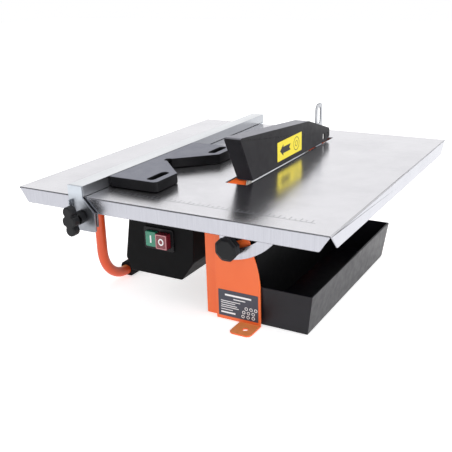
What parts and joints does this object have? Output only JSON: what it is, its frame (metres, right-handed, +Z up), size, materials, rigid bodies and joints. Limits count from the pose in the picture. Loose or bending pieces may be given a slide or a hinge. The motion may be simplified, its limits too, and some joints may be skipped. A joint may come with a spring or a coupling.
{
  "type": "tile cutter",
  "caption": "Bench wet tile cutter: tilting steel table with a throat for a guarded diamond blade, rip fence with a sliding angle guide, orange tube frame, motor box and water tray.",
  "frame": {"origin": "middle of the object's footprint, on the floor it stands on", "axes": "+Z up, +X towards the water tray, -Y towards the front where the switch and the fence's clamp are"},
  "size_m": [0.33, 0.3934, 0.1999],
  "materials": {
    "orange_paint": "glossy orange powder coat",
    "zinc_sheet": "bright zinc-plated sheet, fine grain",
    "zinc_fastener": "zinc-plated, satin",
    "steel": "machined bright steel",
    "blade_steel": "ground steel disc with a matt abrasive rim",
    "fence_aluminium": "satin anodised extrusion",
    "can_aluminium": "plain drawn aluminium",
    "cast_aluminium": "die-cast, fine grain",
    "lamination": "stacked sheet laminations",
    "black_plastic": "black moulded plastic, fine grain",
    "tray_plastic": "black moulded plastic, satin",
    "rubber": "black rubber, matt",
    "green_button": "green moulded plastic",
    "red_button": "dark red moulded plastic"
  },
  "bodies": {
    "base": {"front_leg_plate": "orange_paint", "rear_leg_plate": "orange_paint", "frame_tube": "orange_paint", "tube_foot_front": "rubber", "tube_foot_rear": "rubber", "side_plate": "orange_paint", "splash_shield": "black_plastic", "hinge_pin_front": "steel", "hinge_pin_rear": "steel", "bevel_nut_front": "zinc_fastener", "bevel_nut_rear": "zinc_fastener", "motor_box": "black_plastic", "motor_box_lid": "black_plastic", "switch_housing": "black_plastic", "stator": "lamination", "end_shield_left": "cast_aluminium", "end_shield_right": "cast_aluminium", "bearing_left": "steel", "bearing_right": "steel", "capacitor": "can_aluminium", "cable_gland": "black_plastic", "riving_knife": "steel", "knife_bracket": "orange_paint", "knife_bolt": "zinc_fastener"},
    "table": {"table_top": "zinc_sheet", "quadrant_front": "zinc_sheet", "quadrant_rear": "zinc_sheet"},
    "rotor": {"rotor_core": "lamination", "motor_shaft": "steel", "cooling_fan": "black_plastic", "inner_flange": "steel", "blade": "blade_steel", "outer_flange": "steel", "arbor_nut": "zinc_fastener"},
    "guard": {"blade_guard": "black_plastic", "guard_pin": "black_plastic"},
    "fence": {"fence_rail": "fence_aluminium", "fence_clamp_plate": "zinc_sheet", "fence_jaw": "zinc_sheet", "fence_clamp_nut": "zinc_fastener", "fence_rear_hook": "zinc_sheet"},
    "fence_knob": {"fence_knob": "black_plastic"},
    "guide": {"angle_guide": "black_plastic"},
    "front_knob": {"bevel_knob_front": "black_plastic"},
    "rear_knob": {"bevel_knob_rear": "black_plastic"},
    "start_button": {"start_button": "green_button"},
    "stop_button": {"stop_button": "red_button"},
    "tray": {"water_tray": "tray_plastic"}
  },
  "joints": [
    {"name": "table_tilt", "type": "hinge", "parent": "base", "child": "table", "pos_m": [0.012, 0, 0.147], "axis": [0, 1, 0], "range_deg": [0, 45]},
    {"name": "blade_spin", "type": "hinge", "parent": "base", "child": "rotor", "pos_m": [0, 0.0207, 0.097], "axis": [1, 0, 0], "continuous": true},
    {"name": "guard_lift", "type": "hinge", "parent": "base", "child": "guard", "pos_m": [0.031, 0.1257, 0.16], "axis": [-1, 0, 0], "range_deg": [0, 20]},
    {"name": "fence_slide", "type": "slide", "parent": "table", "child": "fence", "axis": [1, 0, 0], "range_m": [-0.045, 0.02]},
    {"name": "guide_slide", "type": "slide", "parent": "fence", "child": "guide", "axis": [0, 1, 0], "range_m": [-0.03, 0.165]},
    {"name": "fence_knob_turn", "type": "hinge", "parent": "fence", "child": "fence_knob", "pos_m": [-0.084, -0.18, 0.1335], "axis": [0, 1, 0], "continuous": true},
    {"name": "front_knob_turn", "type": "hinge", "parent": "base", "child": "front_knob", "pos_m": [0.02345, -0.09, 0.0881], "axis": [0, 1, 0], "continuous": true},
    {"name": "rear_knob_turn", "type": "hinge", "parent": "base", "child": "rear_knob", "pos_m": [0.02345, 0.18, 0.0881], "axis": [0, 1, 0], "continuous": true},
    {"name": "start_press", "type": "slide", "parent": "base", "child": "start_button", "axis": [0, 1, 0], "range_m": [0, 0.003], "stiffness_N_per_m": 300},
    {"name": "stop_press", "type": "slide", "parent": "base", "child": "stop_button", "axis": [0, 1, 0], "range_m": [0, 0.003], "stiffness_N_per_m": 300},
    {"name": "tray_slide", "type": "slide", "parent": "base", "child": "tray", "axis": [-1, 0, 0], "range_m": [-0.015, 0]}
  ]
}
